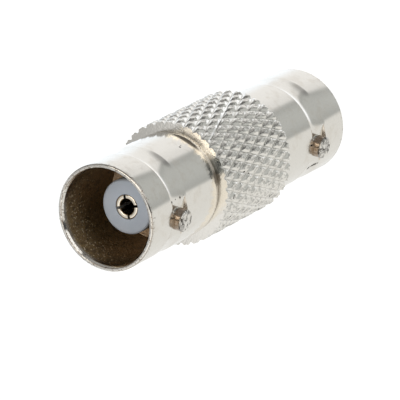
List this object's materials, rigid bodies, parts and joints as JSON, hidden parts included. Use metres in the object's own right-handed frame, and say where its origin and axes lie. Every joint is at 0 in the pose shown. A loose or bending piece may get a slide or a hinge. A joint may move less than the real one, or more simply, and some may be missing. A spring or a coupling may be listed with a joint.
{
  "type": "bnc adapter",
  "caption": "Straight coaxial bayonet adapter: a nickel-plated jack at each end of a diamond-knurled sleeve, with pale insulators round a slotted socket contact.",
  "frame": {"origin": "centre of the rear jack's rim, on which the adapter stands", "axes": "+Z along the adapter's axis to the front jack, X through the bayonet studs"},
  "size_m": [0.0114, 0.0114, 0.0332],
  "materials": {
    "nickel_shell": "bright nickel plate on turned brass",
    "nickel_sleeve": "bright nickel plate on knurled brass",
    "insulator": "satin moulded plastic",
    "contact": "bright plated spring brass"
  },
  "bodies": {
    "root": {"front_shell": "nickel_shell", "rear_shell": "nickel_shell", "knurled_sleeve": "nickel_sleeve", "front_insulator": "insulator", "rear_insulator": "insulator", "centre_contact": "contact"}
  },
  "joints": []
}
